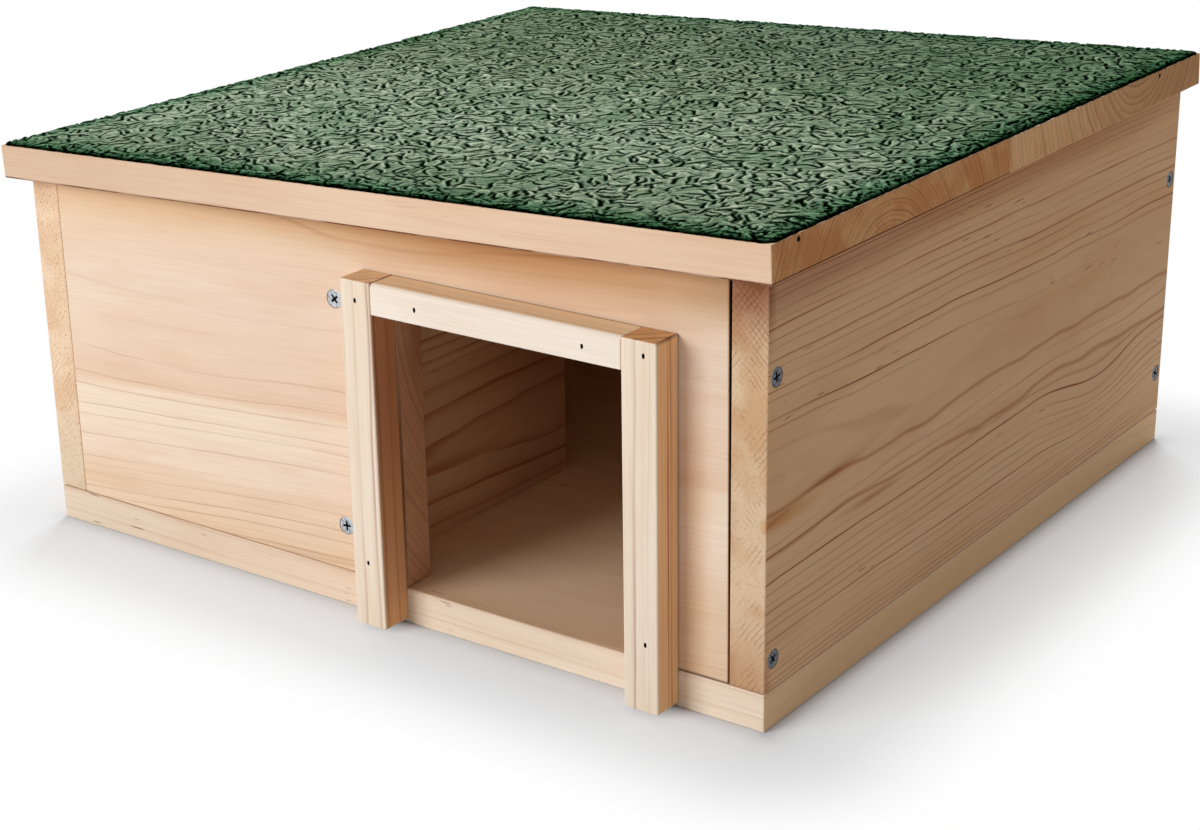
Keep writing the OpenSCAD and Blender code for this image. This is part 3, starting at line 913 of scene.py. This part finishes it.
# The roof's front board gets the painted shade line along its lower edges
ROOF_FRONT_PINE = pine(
    "roof_front_pine", ALONG_X, (0, -130, 165), turn=(0, -math.degrees(ROOF_SLOPE), 0), ring=2.6,
    early=(243, 214, 187), line=0.12, drift=0.2, end=(227, 168, 112), end_line=0.6,
    scores=0.8, dashes=0.1, shaded_foot=197.1,
    marks_and_shade=[((-235, -225, 200), (350, 60, 60), (231, 226, 221), 1)],
)
ROOF_BACK_PINE = pine(
    "roof_back_pine", ALONG_X, (0, 140, 252), ring=4.6, line=0.4, shade=0.3, end=(242, 190, 138),
    end_line=0.55, marks_and_shade=[((227, 190, 215), (10, 190, 60), (212, 200, 185), 0.95)],
)
BATTEN_PINE = pine("batten_pine", ALONG_Y, (120, 0, 120), ring=2.6, sway=4.0, shade=0.35)
LEFT_POST_PINE = pine(
    "left_post_pine", ALONG_Z, (-79, -133, 0), ring=3.6, sway=1.5, wander=2.4, early=CREAM, late=POST_LATE,
    line=0.5, shade=0.14, drift=0.05, side=((1, 0, 0), ORANGE, 1), end=(240, 204, 160), end_line=0.55,
    dashes=0.0,
    marks_and_shade=[
        # Painted shade: on the inner face under the lintel, in the joints along the top, and in the corner
        # against the doorway's edge
        ((21, -222, 130), (3, 40, 170), (176, 134, 122), 0.9),
        ((11, -215, 175), (60, 1.6, 6), GAP_SHADE, 0.9),
        ((20.2, -220, 175), (1.4, 14, 3), GAP_SHADE, 0.9),
        ((20, -215, 90), (1.6, 1.6, 140), CORNER_SHADE, 0.95),
    ],
)
RIGHT_POST_PINE = pine(
    "right_post_pine", ALONG_Z, (79, -133, 0), ring=3.4, sway=1.5, wander=2.4, early=CREAM, late=POST_LATE,
    line=0.5, shade=0.12, drift=0.05, side=((1, 0, 0), (255, 207, 156), 1), end=(222, 172, 120),
    end_line=0.85, dashes=0.0,
    marks_and_shade=[
        ((176, -223.4, 88), (2, 0.9, 150), (166, 104, 76), 0.9),
        # Painted shade along the side's back edge where it meets the wall, and in the joint along the top
        # back edge
        ((176, -215.2, 88), (2, 1.3, 170), (140, 88, 62), 0.9),
        ((167, -215, 175), (60, 1.6, 6), GAP_SHADE, 0.9),
        ((176, -223, 175), (1.6, 16, 2), (140, 92, 64), 0.9),
    ],
)
LINTEL_PINE = pine(
    "lintel_pine", ALONG_X, (0, -130, 160), ring=5.0, sway=1.5, early=(253, 242, 228), line=0.3,
    shade=0.2, drift=0.08, side=((0, 0, 1), (242, 216, 178), 0.95), dashes=0.1,
    # Painted shadow along the top back edge, where the lintel meets the wall
    marks_and_shade=[((89, -215.2, 175), (300, 2.0, 5), (96, 56, 36), 0.95)],
)


# Where the fasteners sit, in mm and degrees

SIDE_SCREW_Y = 208
SIDE_SPOTS = ((-1, 33, 38), (-1, 162, 12), (1, 42, 64), (1, 155, 25))
SIDE_SCREWS = {
    side: [
        facing((side * (HALF_WIDTH - SCREW_SINK), end * SIDE_SCREW_Y * MM, z * MM), (side, 0, 0), twist)
        for end, z, twist in SIDE_SPOTS
    ]
    for side in (-1, 1)
}
BOTH_SIDES_SCREWS = SIDE_SCREWS[-1] + SIDE_SCREWS[1]
PARTITION_SPOTS = ((42, 5), (157, 40))
PARTITION_SCREWS = [
    facing((PARTITION_X, SCREW_SINK - HALF_DEPTH, z * MM), (0, -1, 0), twist) for z, twist in PARTITION_SPOTS
]
FLOOR_SPOTS = (
    (-132, -202.4), (189, -202.4), (-132, 202.4), (132, 202.4),
    (-211, -127), (-211, 127), (211, -127), (211, 127), (-17, -117),
)
FLOOR_TWIST = 17
FLOOR_SCREWS = [
    facing((x * MM, y * MM, SCREW_SINK), (0, 0, -1), FLOOR_TWIST * index)
    for index, (x, y) in enumerate(FLOOR_SPOTS)
]
BATTEN_SPOTS = (
    (-BATTEN_END + BATTEN_INSET, 0),
    (ROOF_JOINT - BATTEN_INSET, 23),
    (ROOF_JOINT + BATTEN_INSET, 46),
    (BATTEN_END - BATTEN_INSET, 69),
)
BATTEN_SCREWS = {
    side: [
        ROOF_FRAME @ facing((side * BATTEN_X, y, SCREW_SINK - BATTEN_DEEP), (0, 0, -1), twist)
        for y, twist in BATTEN_SPOTS
    ]
    for side in (-1, 1)
}
BOTH_BATTENS_SCREWS = BATTEN_SCREWS[-1] + BATTEN_SCREWS[1]
FRAME_SPOTS = ((11, 35.5), (11, 165.5), (169.5, 35.5), (169.5, 168.5), (46, 167), (138, 167))
FRAME_BRADS = [
    facing((x * MM, POST_FACE + BRAD_SINK, z * MM), (0, -1, 0), 0) @ BRAD_OVAL for x, z in FRAME_SPOTS
]
EDGE_SPOTS = (-203.5, 166.5)
EDGE_BRADS = [
    ROOF_FRAME @ facing((x, y * MM, ROOF_THICK - EDGE_BRAD_DOWN), (side, 0, 0), 0)
    for side, x in ((-1, ROOF_LEFT + BRAD_SINK), (1, ROOF_RIGHT - BRAD_SINK))
    for y in EDGE_SPOTS
]


# Boards

def board(name, node, bm, look, holes, body="house", joint=None):
    """Eases a board's arrises, makes it a piece and drills it with (profile, places, lining) holes."""
    ease(bm, joint)
    piece = piece_from(name, bm, look, body, node)
    for profile, places, *lining in holes:
        cut_from(piece, stamp(lathe(profile, HOLE_STEPS), places), *lining)
    return piece


def walls():
    """The four walls and the partition, sawn to the roof's slope."""
    wall_hole = hole_profile(SCREW_LENGTH)
    floor_holes = (hole_profile(FLOOR_SCREW_LENGTH), FLOOR_SCREWS)
    frame_holes = (brad_hole_profile(BRAD_LENGTH), FRAME_BRADS)
    for name, node, sill, gap, look, screws in (
        ("left_wall_board", "left_wall", SILL_GAP, ROOF_GAP, LEFT_PINE, SIDE_SCREWS[-1]),
        ("right_wall_board", "right_wall", SILL_GAP, ROOF_GAP, RIGHT_PINE, SIDE_SCREWS[1]),
        ("back_wall_board", "back_wall", 0, ROOF_GAP, BACK_PINE, BOTH_SIDES_SCREWS),
        ("partition_board", "partition_wall", 0, PARTITION_GAP, PARTITION_PINE, PARTITION_SCREWS),
    ):
        low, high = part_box(node)
        bm = plank(low + Vector((0, 0, sill)), high)
        saw_to_roof(bm, gap)
        board(name, node, bm, look, [(wall_hole, screws), floor_holes])
    low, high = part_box("front_wall")
    sill = low.z + SILL_GAP
    outline = (
        (low.x, sill), (DOOR_LEFT, sill), (DOOR_LEFT, DOOR_TOP), (DOOR_RIGHT, DOOR_TOP),
        (DOOR_RIGHT, sill), (high.x, sill), (high.x - FRONT_TAPER, high.z), (low.x, high.z),
    )
    bm = drawn_out([(x, low.y, z) for x, z in outline], (0, high.y - low.y, 0))
    saw_to_roof(bm, ROOF_GAP)
    holes = [(wall_hole, PARTITION_SCREWS + BOTH_SIDES_SCREWS), floor_holes, frame_holes]
    mesh = board("front_wall_board", "front_wall", bm, FRONT_PINE, holes).data
    # The end that lies deep in the gap beside the right wall gets the painted shade of a recess
    mesh.materials.append(RECESS_SHADE)
    for face in mesh.polygons:
        if face.normal.x > SIDEWAYS and face.center.x > DOOR_RIGHT + POST_WIDTH:
            face.material_index = 1


def floor_boards():
    """Two floor boards, drilled from below."""
    holes = [(hole_profile(FLOOR_SCREW_LENGTH), FLOOR_SCREWS)]
    for node in ("floor_front_board", "floor_back_board"):
        board(node + "_plank", node, plank(*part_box(node)), FLOOR_PINE, holes, joint=FLOOR_JOINT)


def door_frame():
    """Two posts and the lintel between them."""
    # The brad pits are lined with painted shade
    holes = [(brad_hole_profile(BRAD_LENGTH), FRAME_BRADS, RECESS_SHADE)]
    looks = {"door_post_left": LEFT_POST_PINE, "door_post_right": RIGHT_POST_PINE, "door_lintel": LINTEL_PINE}
    for node, look in looks.items():
        low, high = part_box(node)
        bm = plank(low, high)
        if node == "door_lintel":
            round_edge(bm, low.y, high.z)
        board(node + "_batten", node, bm, look, holes)


def roof_boards():
    """Two roof boards and the battens below them, in the tilted frame of the roof."""
    # The brad pits in the roof's edges are lined with painted shade
    edge_holes = (brad_hole_profile(EDGE_BRAD_LENGTH), EDGE_BRADS, RECESS_SHADE)
    screw_hole = hole_profile(BATTEN_SCREW_LENGTH)
    for node, front, back, look in (
        ("roof_front_board", ROOF_FRONT, ROOF_JOINT, ROOF_FRONT_PINE),
        ("roof_back_board", ROOF_JOINT, ROOF_BACK, ROOF_BACK_PINE),
    ):
        bm = plank((ROOF_LEFT, front, 0), (ROOF_RIGHT, back, ROOF_THICK))
        tilt(bm)
        holes = [edge_holes, (screw_hole, BOTH_BATTENS_SCREWS)]
        board(node + "_plank", node, bm, look, holes, body="roof", joint=ROOF_JOINT)
    for side, node in ((-1, "roof_batten_left"), (1, "roof_batten_right")):
        left = side * BATTEN_X - BATTEN_WIDTH / 2
        right = side * BATTEN_X + BATTEN_WIDTH / 2
        bm = plank((left, -BATTEN_END, -BATTEN_DEEP), (right, BATTEN_END, 0))
        tilt(bm)
        board(node + "_strip", node, bm, BATTEN_PINE, [(screw_hole, BATTEN_SCREWS[side])], body="roof")


# Felt

def scatter(column, row, choice):
    """The CAD source's fixed number from 0 to 1 for a fold in the felt."""
    by_column, by_row, by_choice = SCATTER_STEPS
    angle = math.radians(by_column * column + by_row * row + by_choice * choice)
    wave = SCATTER_SPREAD * math.sin(angle)
    return wave - math.floor(wave)


def window(lines, middle, reach):
    """The stretch of evenly spaced grid lines within reach of a place."""
    pitch = lines[1] - lines[0]
    first = max(0, int((middle - reach - lines[0]) / pitch))
    return slice(first, int((middle + reach - lines[0]) / pitch) + 2)


def turned_grid(lines_x, lines_y, middle, reach, turn):
    """The grid within reach of a middle, and how far its points lie along and aside from a turned line."""
    columns = window(lines_x, middle[0], reach)
    rows = window(lines_y, middle[1], reach)
    off_x, off_y = np.meshgrid(lines_x[columns] - middle[0], lines_y[rows] - middle[1], indexing="ij")
    along = off_x * math.cos(turn) + off_y * math.sin(turn)
    aside = off_y * math.cos(turn) - off_x * math.sin(turn)
    return (columns, rows), along, aside


def raise_to(heights, spot, shape):
    """Lifts a spot of a height field to a shape where the shape is higher."""
    np.maximum(heights[spot], shape, out=heights[spot])


def main_folds(lines_x, lines_y):
    """Heights in mm of the main folds, where the CAD source has them."""
    heights = np.zeros((len(lines_x), len(lines_y)))
    span_x = lines_x[-1] - lines_x[0]
    span_y = lines_y[-1] - lines_y[0]
    columns = int(span_x / FOLD_PITCH)
    rows = int(span_y / FOLD_PITCH)
    spare_x = (span_x / columns - FOLD_LENGTH) / 2
    spare_y = (span_y / rows - FOLD_LENGTH) / 2
    for column in range(columns):
        for row in range(rows):
            across, shift_x, shift_y, lean, bend, size = [scatter(column, row, n) for n in range(1, 7)]
            middle_x = lines_x[0] + (column + 0.5) * span_x / columns + (2 * shift_x - 1) * spare_x
            middle_y = lines_y[0] + (row + 0.5) * span_y / rows + (2 * shift_y - 1) * spare_y
            turn = math.radians((90 if across > 0.5 else 0) + (2 * lean - 1) * FOLD_TURN)
            bow = (2 * bend - 1) * FOLD_WIDTH * FOLD_BOW
            height = FOLD_HEIGHT * (FOLD_LEAST + (1 - FOLD_LEAST) * size)
            middle = (middle_x, middle_y)
            spot, along, aside = turned_grid(lines_x, lines_y, middle, FOLD_LENGTH / 2, turn)
            taper = np.clip((FOLD_LENGTH / 2 - np.abs(along)) / ((FOLD_LENGTH - FOLD_CREST) / 2), 0, 1)
            flank = np.clip((aside - bow * taper) / (FOLD_WIDTH / 2 * taper + FOLD_TIP), -1, 1)
            raise_to(heights, spot, height * taper * (0.5 + 0.5 * np.cos(math.pi * flank)))
    return heights


def creases(lines_x, lines_y):
    """Strength from 0 to 1 of bent ridges and the grooves beside them, at random but clear of each other."""
    dice = random.Random(SEED)
    ridges = np.zeros((len(lines_x), len(lines_y)))
    grooves = np.zeros_like(ridges)
    taken = np.zeros(ridges.shape, bool)
    for _ in range(CREASES):
        middle = (dice.uniform(lines_x[0], lines_x[-1]), dice.uniform(lines_y[0], lines_y[-1]))
        half = dice.uniform(*CREASE_HALF)
        width = dice.uniform(*CREASE_WIDTH)
        turn = dice.uniform(0, math.tau)
        bow = dice.uniform(-CREASE_BOW, CREASE_BOW)
        wave = dice.uniform(-CREASE_WAVE, CREASE_WAVE)
        strength = dice.uniform(*CREASE_STRENGTH)
        spot, along, aside = turned_grid(lines_x, lines_y, middle, half + CREASE_MARGIN, turn)
        aside = aside + bow * along * along + wave * np.sin(along / half * CREASE_WAVE_PACE)
        strip = (np.abs(aside) < CREASE_CLEAR) & (np.abs(along) < half)
        if taken[spot][strip].mean() > CREASE_OVERLAP:
            continue
        taken[spot] |= strip
        taper = strength * np.sqrt(np.clip(1 - (along / half) ** 2, 0, 1))
        raise_to(ridges, spot, taper * np.exp(-(aside / width - CREASE_RIDGE) ** 2))
        raise_to(grooves, spot, taper * np.exp(-(aside / width) ** 2))
    return ridges, grooves


def rounded(x, y, half_x, half_y):
    """Draws a point of the felt's square corners in to a rounded corner."""
    over_x = abs(x) - (half_x - FELT_CORNER)
    over_y = abs(y) - (half_y - FELT_CORNER)
    if over_x <= 0 or over_y <= 0:
        return x, y
    share = max(over_x, over_y) / math.hypot(over_x, over_y)
    new_x = math.copysign(half_x - FELT_CORNER + over_x * share, x)
    new_y = math.copysign(half_y - FELT_CORNER + over_y * share, y)
    return new_x, new_y


def felt_sheet():
    """The crinkled felt with a rolled, ragged edge, as four closed quarters so that each mesh stays small."""
    half_x = (ROOF_RIGHT - ROOF_LEFT) / 2
    half_y = (ROOF_BACK - ROOF_FRONT) / 2
    middle = Vector(((ROOF_RIGHT + ROOF_LEFT) / 2, (ROOF_BACK + ROOF_FRONT) / 2, ROOF_THICK))
    lines = np.linspace(-1, 1, 2 * FELT_CELLS + 1)
    lines_x = lines * half_x / MM
    lines_y = lines * half_y / MM
    folds = main_folds(lines_x, lines_y)
    ridges, grooves = creases(lines_x, lines_y)
    rises = FELT_FLAT + np.maximum(folds, CREASE_RISE * ridges) - CREASE_DROP * grooves
    crests = np.maximum(folds / FOLD_HEIGHT, ridges)
    painted_tones = np.clip(FELT_TONE + (1 - FELT_TONE) * crests - grooves, 0, 1)
    for side_x, side_y, name in (
        (-1, -1, "front_left"), (1, -1, "front_right"), (-1, 1, "back_left"), (1, 1, "back_right"),
    ):
        bm = bmesh.new()
        place = Matrix.Translation((side_x * half_x / 2, side_y * half_y / 2, 0))
        place = place @ Matrix.Diagonal((half_x, half_y, 1, 1))
        bmesh.ops.create_grid(bm, x_segments=FELT_CELLS, y_segments=FELT_CELLS, size=0.5, matrix=place)
        relief = bm.verts.layers.float.new("relief")
        border = bm.verts.layers.float.new("border")
        for edge in bm.edges:
            edge.smooth = not edge.is_boundary
        for vert in bm.verts:
            column = round((vert.co.x / half_x + 1) * FELT_CELLS)
            row = round((vert.co.y / half_y + 1) * FELT_CELLS)
            x, y = rounded(vert.co.x, vert.co.y, half_x, half_y)
            inset = min(half_x - abs(vert.co.x), half_y - abs(vert.co.y))
            if abs(vert.co.x) > half_x - FELT_CORNER and abs(vert.co.y) > half_y - FELT_CORNER:
                reach = math.hypot(abs(x) - half_x + FELT_CORNER, abs(y) - half_y + FELT_CORNER)
                inset = FELT_CORNER - reach
            close = max(0.0, 1 - inset / FELT_LIP)
            roll = math.sqrt(max(0.0, 1 - close * close))
            rag = FELT_RAG * close * noise.noise(Vector((x, y, 0.3)) / FELT_RAG_PITCH)
            pull = 1 - (FELT_LIP_PULL * close + abs(rag)) / half_y
            rise = rises[column, row] * MM * (FELT_LIP_LEAST + (1 - FELT_LIP_LEAST) * roll)
            vert.co = Vector((x * pull, y * pull, rise))
            vert[relief] = painted_tones[column, row]
            vert[border] = max(0.0, 1 - inset / FELT_BORDER)
        rim = [edge for edge in bm.edges if edge.is_boundary]
        skirt = bmesh.ops.extrude_edge_only(bm, edges=rim)["geom"]
        for vert in only(bmesh.types.BMVert, skirt):
            vert.co.z = 0
            vert[relief] = FELT_SKIRT_TONE
        base = [edge for edge in only(bmesh.types.BMEdge, skirt) if edge.is_boundary]
        bmesh.ops.holes_fill(bm, edges=base)
        face_outwards(bm)
        bmesh.ops.translate(bm, verts=bm.verts[:], vec=middle)
        tilt(bm)
        for face in bm.faces:
            face.smooth = True
        piece_from("roof_felt_" + name, bm, FELT, "roof", "roof_felt")


# Fastener pieces

def fasteners():
    """Screws with cross recesses, and brads: one piece for each CAD node."""
    # All sets but the partition screws take the darker zinc, painted shade
    for node, places, length, body, look in (
        ("left_wall_screws", SIDE_SCREWS[-1], SCREW_LENGTH, "house", SHADED_ZINC),
        ("right_wall_screws", SIDE_SCREWS[1], SCREW_LENGTH, "house", SHADED_ZINC),
        ("partition_screws", PARTITION_SCREWS, SCREW_LENGTH, "house", PLATED_ZINC),
        ("floor_screws", FLOOR_SCREWS, FLOOR_SCREW_LENGTH, "house", SHADED_ZINC),
        ("roof_batten_screws", BOTH_BATTENS_SCREWS, BATTEN_SCREW_LENGTH, "roof", SHADED_ZINC),
    ):
        bm = stamp(lathe(screw_profile(length, 0), SCREW_STEPS), places)
        piece = piece_from(node + "_set", bm, look, body, node)
        # The cross recesses are lined with painted shade
        cut_from(piece, stamp(cross_recess(), places), RECESS_SHADE)
    for node, places, length, body in (
        ("door_frame_brads", FRAME_BRADS, BRAD_LENGTH, "house"),
        ("roof_edge_brads", EDGE_BRADS, EDGE_BRAD_LENGTH, "roof"),
    ):
        bm = stamp(lathe(brad_profile(length), BRAD_STEPS), places)
        piece_from(node + "_set", bm, BRAD, body, node)


# Stage, light and camera

def white_floor():
    """A pale floor that keeps the real shadow close to the house and glows white further out, a painted fade
    of the shadow.
    """
    bm = bmesh.new()
    place = Matrix.Translation((0, 0, -FLOOR_DROP))
    bmesh.ops.create_grid(bm, x_segments=2, y_segments=2, size=FLOOR_HALF, matrix=place)
    floor = put("studio_floor", mesh_of("studio_floor", bm))
    made, tree, shader = material("studio_paper")
    feed(shader.inputs, {"Base Color": tint(219, 224, 230), "Roughness": 0.9, "Specular IOR Level": 0.0})
    rays = new_node(tree, "LightPath").outputs
    seen = maths("MAXIMUM", rays["Is Camera Ray"], rays["Is Glossy Ray"])
    seen = maths("MAXIMUM", seen, rays["Is Transmission Ray"])
    point = new_node(tree, "TexCoord").outputs["Object"]
    outside = vector("SUBTRACT", vector("ABSOLUTE", point), (HALF_WIDTH, HALF_DEPTH, 0))
    outside = vector("MAXIMUM", outside, (0, 0, 0))
    reach = FLOOR_WHITES[-1][0]
    share = straight(vector("LENGTH", outside), 0, reach * MM)
    away = colour_ramp(share, [(far / reach, WHITE, white) for far, white in FLOOR_WHITES])["Alpha"]
    white = new_node(tree, "Emission")
    feed(white.inputs, {"Color": WHITE, "Strength": 1.0})
    lit = add("MixShader", {0: away, 1: shader.outputs[0], 2: white.outputs[0]})
    shown = add("MixShader", {0: seen, 1: shader.outputs[0], 2: lit.outputs[0]})
    feed(tree.nodes["Material Output"].inputs, {"Surface": shown.outputs[0]})
    floor.data.materials.append(made)


def softbox(name, place, aim, size, power):
    """A square white area light that looks at a point."""
    lamp = bpy.data.lights.new(name, "AREA")
    lamp.size = size
    lamp.energy = power
    box = put(name, lamp)
    box.location = place
    box.rotation_euler = (Vector(aim) - Vector(place)).to_track_quat("-Z", "Y").to_euler()


def studio():
    """Soft light from the front left, one from behind above the roof, and a white surround."""
    for name, values in SOFTBOXES.items():
        softbox(name, *values)
    world = bpy.data.worlds.new("studio_air")
    bpy.context.scene.world = world
    world.use_nodes = True
    tree = world.node_tree
    rays = new_node(tree, "LightPath").outputs
    seen = maths("MAXIMUM", rays["Is Camera Ray"], rays["Is Transmission Ray"])
    fill = tree.nodes["Background"]
    feed(fill.inputs, {"Color": FILL_COLOUR, "Strength": FILL_STRENGTH})
    white = new_node(tree, "Background")
    feed(white.inputs, {"Color": WHITE, "Strength": 1.0})
    mixed = add("MixShader", {0: seen, 1: fill.outputs[0], 2: white.outputs[0]})
    feed(tree.nodes["World Output"].inputs, {"Surface": mixed.outputs[0]})
    bpy.context.scene.view_settings.view_transform = "Standard"


def camera():
    """The photograph's camera."""
    data = bpy.data.cameras.new("photo_camera")
    data.sensor_width = CAMERA_SENSOR
    data.lens = CAMERA_LENS
    data.clip_start = CAMERA_NEAR
    eye = put("photo_camera", data)
    turn = (
        Matrix.Rotation(math.radians(CAMERA_AZIMUTH), 4, "Z")
        @ Matrix.Rotation(math.radians(90 - CAMERA_ELEVATION), 4, "X")
        @ Matrix.Rotation(math.radians(CAMERA_ROLL), 4, "Z")
    )
    eye.matrix_world = Matrix.Translation(CAMERA_PLACE) @ turn
    bpy.context.scene.camera = eye


walls()
floor_boards()
door_frame()
roof_boards()
felt_sheet()
fasteners()
white_floor()
studio()
camera()

bpy.context.view_layer.update()
